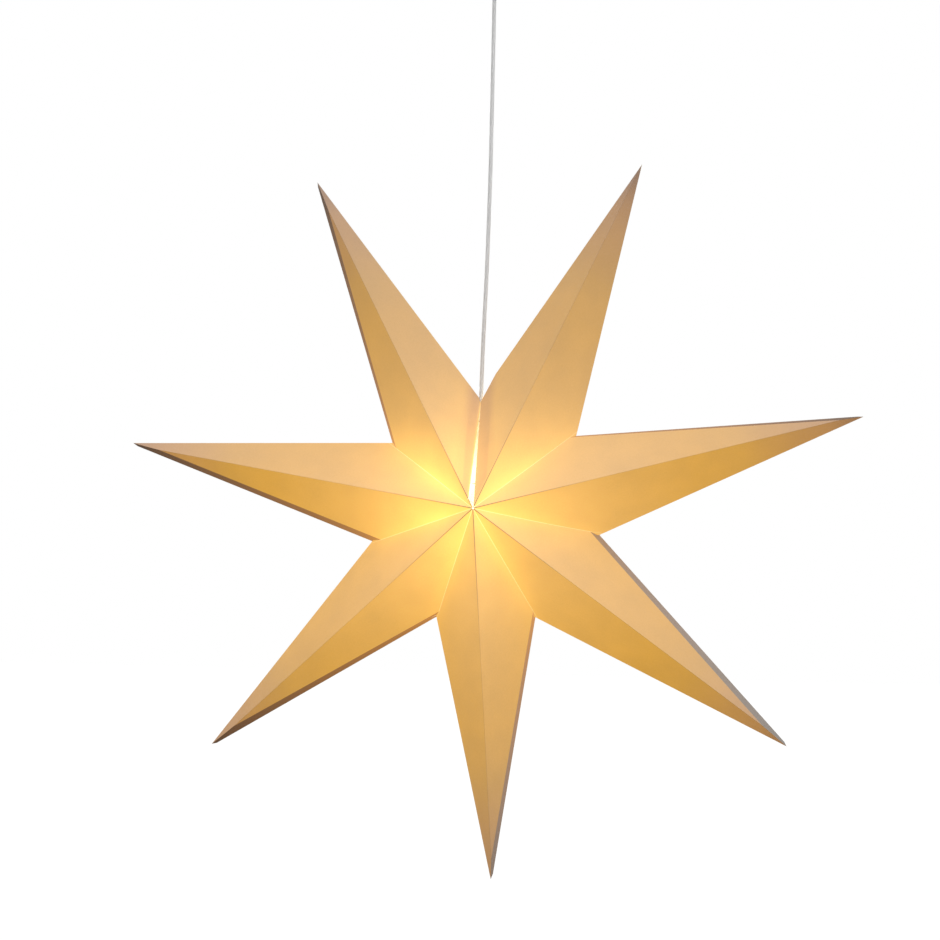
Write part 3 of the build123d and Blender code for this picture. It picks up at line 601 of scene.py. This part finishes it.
def mark_paper(point, index):
    """Keeps each spot's place in the folded sheet, its painted hem shade, and each seam strip's painted
    glow and daylight.
    """
    seam = seam_plane(index)[1]
    turn = SLIT_TURN.get(index, 0)
    spots = [vertex.co.copy() for vertex in point.data.vertices]
    folds = point.data.attributes.new("fold_place", "FLOAT_VECTOR", "POINT")
    for mark, spot in zip(folds.data, spots):
        mark.vector = spot
    hems = point.data.attributes.new("hem_and_holder_painted_shade", "FLOAT", "POINT")
    for mark, spot in zip(hems.data, spots):
        mark.value = hem_and_holder_painted_shade(spot, turn)
    layers = point.data.attributes.new("second_layer_and_painted_light", "FLOAT_VECTOR", "FACE")
    for mark, face in zip(layers.data, point.data.polygons):
        mark.vector = (0, 1, 0)
        if face.normal.dot(seam) > SEAM_FACING:
            mark.vector = (1, SEAM_PAINTED_GLOW[index], SEAM_PAINTED_DAYLIGHT[index])


# How far the tips and the valleys' ends lie off the even star, outwards and anticlockwise.
# Valleys bend towards their ends, at the back only close to them.
TIP_OUT = (4.0 * MM, 2.8 * MM, 2.7 * MM, 3.0 * MM, 1.9 * MM, 1.4 * MM, -10.8 * MM)
TIP_ASIDE = (-0.1 * MM, 0, 0.3 * MM, 0.1 * MM, -1.5 * MM, -2.8 * MM, -2.4 * MM)
VALLEY_OUT = (-7.4 * MM, 0, -2.0 * MM, -6.2 * MM, -3.4 * MM, -0.3 * MM, 2.7 * MM, -0.8 * MM)
VALLEY_ASIDE = (0, 1.2 * MM, 0, 0, 0.1 * MM, 2.8 * MM, 1.1 * MM, 0)
BOW_IN_FRONT = 2
BOW_AT_BACK = 6


def sway(spot, index):
    """Where a spot of the even sheet comes to lie: tips and valley ends are a little off, as by hand."""
    turn = 1 if spot.y > 0 else -1
    valley = index + max(turn, 0)
    to_valley = abs(spot.y) / VALLEY_ACROSS
    to_tip = (spot.x - to_valley * VALLEY_ALONG) / point_reach(index)
    tip_shift = Vector((TIP_OUT[index], TIP_ASIDE[index], 0))
    aside = valley_normal(turn) * turn
    valley_shift = valley_line(turn) * VALLEY_OUT[valley] + aside * VALLEY_ASIDE[valley]
    bow = (to_valley + to_tip) ** (BOW_IN_FRONT if spot.z > 0 else BOW_AT_BACK)
    return spot + tip_shift * to_tip + valley_shift * to_valley * bow


def star_frame(index):
    """Where a point's own frame lies in the hanging star."""
    turn = math.pi / 2 + (2 * index + 1) * HALF_WEDGE + STAR_LEAN
    along_x = math.cos(turn)
    along_z = math.sin(turn)
    return Matrix.Translation(STAR_CENTRE) @ Matrix((
        (along_x, -along_z, 0, 0), (0, 0, -1, 0), (along_z, along_x, 0, 0), (0, 0, 0, 1)))


# White paper with a painted glow standing in for the bulb's light through it: near the bulb the light
# comes straight through each facet, and further out only what the inner walls pass on. Two sheets dim it,
# folds show as thin painted lines of shade and light, pulp as faint clouds.
GLOW_COLOUR = linear("#ffbf55")
MIDDLE_COLOUR = linear("#ffba30")
TIP_COLOUR = linear("#ffb35b")
HEM_COLOUR = linear("#ffb159")
SEAM_COLOUR = linear("#ffaa50")
CREASE_COLOUR = linear("#ffdd95")
MIDDLE_FROM = 90 * MM
MIDDLE_TO = 220 * MM
TIP_COLOUR_FROM = 265 * MM
TIP_COLOUR_TO = 390 * MM
BULB_SPOT = STAR_CENTRE + Vector((-14.2 * MM, 0, 15.8 * MM))
BULB_POWER = 8930 * MM ** 2
BULB_SIZE = 52.2 * MM
WALL_GLOW = 0.605
RIDGE_LINE = 0.25 * MM
RIDGE_EDGE = 0.7 * MM
RIDGE_FADED = 120 * MM
RIDGE_DIMMING = 0.75
RIDGE_DIMMING_FADED = 0.12
# Valley creases are thin lines of painted light.
CREASE_LINE = 0.1 * MM
CREASE_EDGE = 0.45 * MM
CREASE_PAINTED_LIGHT = 0.5
CREASE_GAIN = 0.3
HALO_WIDTH = 14 * MM
HALO_GAIN = 0.06
HEM_HIDES_CREASE = 0.2
TIP_START = 200 * MM
TIP_FOLD = 340 * MM
TIP_END = 400 * MM
TIP_LEFT = 0.65
TIP_FOLD_LEFT = 0.6
HOLDER_SHADE_TOP = 85 * MM
HOLDER_SHADE_SPREAD = 0.5
HOLDER_SHADE_LEFT = 0.81
SECOND_SHEET = 0.54
SECOND_SHEET_AT_TIP = 0.22
HEM_SHEET = 0.58
BELOW_START = -100 * MM
BELOW_END = -380 * MM
BELOW_LEFT = 0.79
PULP_CLOUD = 30 * MM
FIBRE = 1.6 * MM
lit_paper, tree, shader, place = start_material("white_paper_painted_glow")

# Painted glow of the bulb, by its distance and the facet's slant, and the even painted light of the inner
# walls.
normal = add_node(tree, "ShaderNodeTexCoord").outputs["Normal"]
away = add_node(tree, "ShaderNodeVectorMath", {0: BULB_SPOT, 1: place}, operation="SUBTRACT")
facing = add_node(tree, "ShaderNodeVectorMath", {0: away.outputs[0], 1: normal}, operation="DOT_PRODUCT")
square = add_node(tree, "ShaderNodeVectorMath", {
    0: away.outputs[0], 1: away.outputs[0]}, operation="DOT_PRODUCT")
soft = add_node(tree, "ShaderNodeMath", {0: square.outputs["Value"], 1: BULB_SIZE ** 2}, operation="ADD")
cube = add_node(tree, "ShaderNodeMath", {0: soft.outputs[0], 1: 1.5}, operation="POWER")
slant = add_node(tree, "ShaderNodeMath", {0: facing.outputs["Value"]}, operation="ABSOLUTE")
share = add_node(tree, "ShaderNodeMath", {0: slant.outputs[0], 1: cube.outputs[0]}, operation="DIVIDE")
direct = add_node(tree, "ShaderNodeMath", {0: share.outputs[0], 1: BULB_POWER}, operation="MULTIPLY")
light = add_node(tree, "ShaderNodeMath", {0: direct.outputs[0], 1: WALL_GLOW}, operation="ADD")

# Ridges are thin lines of painted shade that fade outwards.
folds = add_node(tree, "ShaderNodeAttribute", attribute_name="fold_place")
fold = add_node(tree, "ShaderNodeSeparateXYZ", {0: folds.outputs["Vector"]})
off_ridge = add_node(tree, "ShaderNodeMath", {0: fold.outputs["Y"]}, operation="ABSOLUTE")
ridge = add_node(tree, "ShaderNodeMapRange", {
    "Value": off_ridge.outputs[0], "From Min": RIDGE_LINE, "From Max": RIDGE_EDGE,
    "To Min": 1.0, "To Max": 0.0}, interpolation_type="SMOOTHSTEP")
ridge_fade = add_node(tree, "ShaderNodeMapRange", {
    "Value": fold.outputs["X"], "From Max": RIDGE_FADED,
    "To Min": RIDGE_DIMMING, "To Max": RIDGE_DIMMING_FADED})
ridge_dark = add_node(tree, "ShaderNodeMath", {
    0: ridge.outputs[0], 1: ridge_fade.outputs[0]}, operation="MULTIPLY")
ridge_gain = add_node(tree, "ShaderNodeMath", {0: 1.0, 1: ridge_dark.outputs[0]}, operation="SUBTRACT")

# Valleys are thin lines of painted light in a faint painted halo, apart from the hemmed one.
across = add_node(tree, "ShaderNodeMath", {
    0: off_ridge.outputs[0], 1: -math.cos(HALF_WEDGE)}, operation="MULTIPLY")
from_valley = add_node(tree, "ShaderNodeMath", {
    0: fold.outputs["X"], 1: math.sin(HALF_WEDGE), 2: across.outputs[0]}, operation="MULTIPLY_ADD")
off_valley = add_node(tree, "ShaderNodeMath", {0: from_valley.outputs[0]}, operation="ABSOLUTE")
hems = add_node(tree, "ShaderNodeAttribute", attribute_name="hem_and_holder_painted_shade")
no_hem = add_node(tree, "ShaderNodeMapRange", {
    "Value": hems.outputs["Fac"], "From Max": HEM_HIDES_CREASE, "To Min": 1.0, "To Max": 0.0})
crease = add_node(tree, "ShaderNodeMapRange", {
    "Value": off_valley.outputs[0], "From Min": CREASE_LINE, "From Max": CREASE_EDGE,
    "To Min": CREASE_PAINTED_LIGHT, "To Max": 0.0}, interpolation_type="SMOOTHSTEP")
bare_crease = add_node(tree, "ShaderNodeMath", {
    0: crease.outputs[0], 1: no_hem.outputs[0]}, operation="MULTIPLY")
crease_light = add_node(tree, "ShaderNodeMath", {
    0: bare_crease.outputs[0], 1: CREASE_GAIN, 2: 1.0}, operation="MULTIPLY_ADD")
halo = add_node(tree, "ShaderNodeMapRange", {
    "Value": off_valley.outputs[0], "From Max": HALO_WIDTH,
    "To Min": HALO_GAIN, "To Max": 0.0}, interpolation_type="SMOOTHERSTEP")
bare_halo = add_node(tree, "ShaderNodeMath", {
    0: halo.outputs[0], 1: no_hem.outputs[0], 2: 1.0}, operation="MULTIPLY_ADD")

# Painted shade: less light is painted towards the tips, on the paper over the lampholder and on the lower
# points.
spot = add_node(tree, "ShaderNodeSeparateXYZ", {0: place})
tip = add_node(tree, "ShaderNodeMapRange", {
    "Value": fold.outputs["X"], "From Min": TIP_START, "From Max": TIP_END,
    "To Min": 1.0, "To Max": TIP_LEFT}, interpolation_type="SMOOTHSTEP")
tip_end = add_node(tree, "ShaderNodeMapRange", {
    "Value": fold.outputs["X"], "From Min": TIP_FOLD, "From Max": TIP_END,
    "To Min": 1.0, "To Max": TIP_FOLD_LEFT}, interpolation_type="SMOOTHSTEP")
off_middle = add_node(tree, "ShaderNodeMath", {0: spot.outputs["X"]}, operation="ABSOLUTE")
over_lamp = add_node(tree, "ShaderNodeMath", {
    0: off_middle.outputs[0], 1: -HOLDER_SHADE_SPREAD, 2: spot.outputs["Z"]}, operation="MULTIPLY_ADD")
above = add_node(tree, "ShaderNodeMapRange", {
    "Value": over_lamp.outputs[0],
    "From Min": STAR_CENTRE.z, "From Max": STAR_CENTRE.z + HOLDER_SHADE_TOP,
    "To Min": 1.0, "To Max": HOLDER_SHADE_LEFT}, interpolation_type="SMOOTHSTEP")
below = add_node(tree, "ShaderNodeMapRange", {
    "Value": spot.outputs["Z"],
    "From Min": STAR_CENTRE.z + BELOW_START, "From Max": STAR_CENTRE.z + BELOW_END,
    "To Min": 1.0, "To Max": BELOW_LEFT})

# A seam strip or a hem is a second sheet that dims the painted glow. A strip carries its own painted glow
# and painted daylight paleness.
layers = add_node(tree, "ShaderNodeAttribute", attribute_name="second_layer_and_painted_light")
layer = add_node(tree, "ShaderNodeSeparateXYZ", {0: layers.outputs["Vector"]})
in_seam = layer.outputs[0]
seam_painted_glow = layer.outputs[1]
seam_painted_daylight = layer.outputs[2]
sheet_left = add_node(tree, "ShaderNodeMapRange", {
    "Value": fold.outputs["X"], "From Min": VALLEY_ALONG, "From Max": TIP_END,
    "To Min": SECOND_SHEET, "To Max": SECOND_SHEET_AT_TIP})
seam_left = add_node(tree, "ShaderNodeMath", {
    0: sheet_left.outputs[0], 1: seam_painted_glow}, operation="MULTIPLY")
seam_passed = add_node(tree, "ShaderNodeMapRange", {
    "Value": in_seam, "To Min": 1.0, "To Max": seam_left.outputs[0]})
hem_passed = add_node(tree, "ShaderNodeMapRange", {
    "Value": hems.outputs["Fac"], "To Min": 1.0, "To Max": HEM_SHEET})

# Pulp lies uneven in clouds, with single fibres in them.
clouds = add_node(tree, "ShaderNodeTexNoise", {"Vector": place, "Scale": 1 / PULP_CLOUD, "Detail": 3})
fibres = add_node(tree, "ShaderNodeTexNoise", {"Vector": place, "Scale": 1 / FIBRE, "Detail": 3})
cloud_gain = add_node(tree, "ShaderNodeMapRange", {
    "Value": clouds.outputs[0], "To Min": 0.9, "To Max": 1.1})
fibre_gain = add_node(tree, "ShaderNodeMapRange", {
    "Value": fibres.outputs[0], "To Min": 0.96, "To Max": 1.04})
for gain in (
        tip, tip_end, above, below, ridge_gain, bare_halo, crease_light,
        seam_passed, hem_passed, cloud_gain, fibre_gain):
    light = add_node(tree, "ShaderNodeMath", {
        0: light.outputs[0], 1: gain.outputs[0]}, operation="MULTIPLY")

# The painted glow's colour changes outwards, and in hems, strips and creases. Strips differ in greyness,
# which is painted daylight and shade.
outwards = add_node(tree, "ShaderNodeMapRange", {
    "Value": fold.outputs["X"], "From Min": MIDDLE_FROM, "From Max": MIDDLE_TO})
to_tip = add_node(tree, "ShaderNodeMapRange", {
    "Value": fold.outputs["X"], "From Min": TIP_COLOUR_FROM, "From Max": TIP_COLOUR_TO})
glow = GLOW_COLOUR
for amount, colour in (
        (outwards.outputs[0], MIDDLE_COLOUR), (to_tip.outputs[0], TIP_COLOUR),
        (hems.outputs["Fac"], HEM_COLOUR), (in_seam, SEAM_COLOUR),
        (bare_crease.outputs[0], CREASE_COLOUR)):
    mixed = add_node(tree, "ShaderNodeMix", {
        "Factor": amount, MIX_A: glow, MIX_B: colour}, data_type="RGBA")
    glow = mixed.outputs[MIX_COLOUR]
# The sheet's own colour is set grey, far darker than white paper, as painted shade that keeps the daylight
# on it dim.
sheet_tone = add_node(tree, "ShaderNodeMix", {
    "Factor": fibres.outputs[0], MIX_A: linear("#7c7f84"), MIX_B: linear("#86898e")}, data_type="RGBA")
seam_tone = add_node(tree, "ShaderNodeMix", {
    "Factor": seam_painted_daylight, MIX_A: linear("#2f2e2d"), MIX_B: linear("#a3a19d")}, data_type="RGBA")
tone = add_node(tree, "ShaderNodeMix", {
    "Factor": in_seam, MIX_A: sheet_tone.outputs[MIX_COLOUR],
    MIX_B: seam_tone.outputs[MIX_COLOUR]}, data_type="RGBA")
relief = add_node(tree, "ShaderNodeBump", {
    "Height": fibres.outputs[0], "Strength": 0.2, "Distance": 0.03 * MM})
set_inputs(tree, shader, {
    "Base Color": tone.outputs[MIX_COLOUR], "Normal": relief.outputs[0],
    "Emission Color": glow, "Emission Strength": light.outputs[0],
    "Roughness": 0.9, "Specular IOR Level": 0.2})

# The same paper from inside, with a painted glow for the bulb shining straight on it:
# pale, warm and brightest near the bulb.
INSIDE_NEAR = 70 * MM
INSIDE_FAR = 140 * MM
INSIDE_NEAR_LIGHT = 1.05
INSIDE_FAR_LIGHT = 0.4
lit_inside, tree, shader, place = start_material("bulb_side_of_paper_painted_glow")
fibres = add_node(tree, "ShaderNodeTexNoise", {"Vector": place, "Scale": 1 / FIBRE, "Detail": 3})
fibre_gain = add_node(tree, "ShaderNodeMapRange", {
    "Value": fibres.outputs[0], "To Min": 0.96, "To Max": 1.04})
off_bulb = add_node(tree, "ShaderNodeVectorMath", {0: place, 1: BULB_SPOT}, operation="DISTANCE")
inside_level = add_node(tree, "ShaderNodeMapRange", {
    "Value": off_bulb.outputs["Value"], "From Min": INSIDE_NEAR, "From Max": INSIDE_FAR,
    "To Min": INSIDE_NEAR_LIGHT, "To Max": INSIDE_FAR_LIGHT})
inside_light = add_node(tree, "ShaderNodeMath", {
    0: inside_level.outputs[0], 1: fibre_gain.outputs[0]}, operation="MULTIPLY")
set_inputs(tree, shader, {
    "Base Color": linear("#e6e0d2"), "Roughness": 0.9,
    "Emission Color": linear("#ffefce"), "Emission Strength": inside_light.outputs[0]})

FACET_LEVELS = 4
CREASE_ANGLE = math.radians(20)
for index, name in enumerate(POINT_NAMES):
    bpy.ops.object.select_all(action="DESELECT")
    point = fold_point(index)
    apply_modifier(
        point, "SUBSURF", subdivision_type="SIMPLE", levels=FACET_LEVELS, render_levels=FACET_LEVELS)
    warp_paper(point, index)
    point.data.materials.append(lit_paper)
    point.data.materials.append(lit_inside)
    apply_modifier(point, "SOLIDIFY", thickness=PAPER, offset=-1, material_offset=1)
    mark_paper(point, index)
    for vertex in point.data.vertices:
        vertex.co = sway(vertex.co, index)
    point.matrix_world = star_frame(index)
    bpy.ops.object.select_all(action="DESELECT")
    point.select_set(True)
    bpy.context.view_layer.objects.active = point
    bpy.ops.object.transform_apply()
    bpy.ops.object.shade_smooth_by_angle(angle=CREASE_ANGLE)
    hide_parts("point_" + name)
    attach(point, "hanging_star")

# Closing strip: a narrow strip of the same paper, folded and glued inside the back of the top valley.
# It holds the first and the last point together, so its halves follow those two sheets.
CLOSING_GAP = 0.1 * MM
CLOSING_THICKNESS = 0.3 * MM
bpy.ops.object.select_all(action="DESELECT")
bpy.ops.mesh.primitive_grid_add(x_subdivisions=2, y_subdivisions=8, size=2)
strip = bpy.context.object
strip.name = "paper_closing_strip"


def inside_back(index, along, across):
    """Spot on the bulb's side of a point's back facet, next to the top valley."""
    turn = SLIT_TURN[index]
    spot = valley_line(turn) * along - valley_normal(turn) * across
    height = HALF_DEPTH * (1 - spot.x / point_reach(index) - abs(spot.y) / half_width(index))
    spot.z = PAPER + CLOSING_GAP - height
    return star_frame(index) @ sway(spot, index)


for vertex in strip.data.vertices:
    along = CLOSING_START + (CLOSING_END - CLOSING_START) * (vertex.co.y + 1) / 2
    across = abs(vertex.co.x) * CLOSING_WIDTH
    first, last = [inside_back(index, along, across) for index in sorted(SLIT_TURN)]
    on_fold = across < TOUCH
    vertex.co = first.lerp(last, (vertex.co.x + 1) / 2 if on_fold else float(vertex.co.x > 0))
strip.data.materials.append(lit_inside)
apply_modifier(strip, "SOLIDIFY", thickness=CLOSING_THICKNESS, offset=0)
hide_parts("closing_strip")
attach(strip, "hanging_star")

# Camera: a long lens, a little right of the star and below its centre, looking up at it.
# Its place and turns were fitted to the star's tips and valleys in the photograph.
CAMERA_PLACE = Vector((280.9 * MM, -1803.7 * MM, -742.6 * MM))
CAMERA_YAW = math.radians(9.319)
CAMERA_PITCH = math.radians(5.205)
CAMERA_ROLL = math.radians(1.234)
SENSOR_WIDTH = 36
FOCAL_LENGTH = 69.06
level = Vector((math.cos(CAMERA_YAW), math.sin(CAMERA_YAW), 0))
forward = Vector((-math.sin(CAMERA_YAW), math.cos(CAMERA_YAW), 0))
ahead = forward * math.cos(CAMERA_PITCH) + Vector((0, 0, math.sin(CAMERA_PITCH)))
upright = level.cross(ahead)
right = level * math.cos(CAMERA_ROLL) + upright * math.sin(CAMERA_ROLL)
top = upright * math.cos(CAMERA_ROLL) - level * math.sin(CAMERA_ROLL)
lens = bpy.data.cameras.new("camera")
lens.sensor_width = SENSOR_WIDTH
lens.lens = FOCAL_LENGTH
camera = bpy.data.objects.new("camera", lens)
bpy.context.collection.objects.link(camera)
camera.matrix_world = Matrix.Translation(CAMERA_PLACE) @ Matrix((right, top, -ahead)).transposed().to_4x4()
bpy.context.scene.camera = camera

# Light: soft daylight from above, a little right and in front, and weaker from the left, the right and
# behind. At a strength of 1 a white surface that faces the light comes out about white.
for name, away, strength, spread in (
        ("daylight_above", (0.32, -0.31, 0.89), 0.79, 110),
        ("daylight_left", (-1.0, -0.1, 0.15), 0.22, 70),
        ("daylight_right", (1.0, -0.1, -0.1), 0.13, 70),
        ("daylight_behind", (-0.2, 0.85, 0.45), 0.35, 70)):
    sun = bpy.data.lights.new(name, "SUN")
    sun.energy = strength * math.pi
    sun.angle = math.radians(spread)
    daylight = bpy.data.objects.new(name, sun)
    bpy.context.collection.objects.link(daylight)
    daylight.rotation_mode = "QUATERNION"
    daylight.rotation_quaternion = Vector(away).to_track_quat("Z", "Y")

# White room: white to the eye, in gloss and through glass.
# On the object itself it gives only a faint fill.
FILL_LEVEL = 0.04
WHITE = linear("#ffffff")


def seen_by_eye(tree):
    """1 for what the eye, gloss or glass sees, 0 for light that falls on things."""
    path = add_node(tree, "ShaderNodeLightPath")
    seen = path.outputs["Is Camera Ray"]
    for ray in ("Is Glossy Ray", "Is Transmission Ray"):
        either = add_node(tree, "ShaderNodeMath", {0: seen, 1: path.outputs[ray]}, operation="MAXIMUM")
        seen = either.outputs[0]
    return seen


world = bpy.data.worlds.new("white_room")
world.use_nodes = True
tree = world.node_tree
room_level = add_node(tree, "ShaderNodeMapRange", {
    "Value": seen_by_eye(tree), "To Min": FILL_LEVEL, "To Max": 1.0})
set_inputs(tree, tree.nodes["Background"], {"Color": WHITE, "Strength": room_level.outputs[0]})
bpy.context.scene.world = world

# Floor: plain and pale, well below the lowest tip.
# It is white to the eye but for the star's soft shadow.
FLOOR_HEIGHT = -1.45
FLOOR_SIZE = 60
FLOOR_TO_EYE = 0.95
bpy.ops.mesh.primitive_plane_add(size=FLOOR_SIZE, location=(0, 0, FLOOR_HEIGHT))
floor = bpy.context.object
floor.name = "floor"
pale_floor, tree, shader, place = start_material("pale_floor")
floor_level = add_node(tree, "ShaderNodeMapRange", {
    "Value": seen_by_eye(tree), "To Min": 0.0, "To Max": FLOOR_TO_EYE})
set_inputs(tree, shader, {
    "Base Color": linear("#595959"), "Roughness": 1.0, "Specular IOR Level": 0.0,
    "Emission Color": WHITE, "Emission Strength": floor_level.outputs[0]})
floor.data.materials.append(pale_floor)

bpy.context.scene.view_settings.view_transform = "Standard"
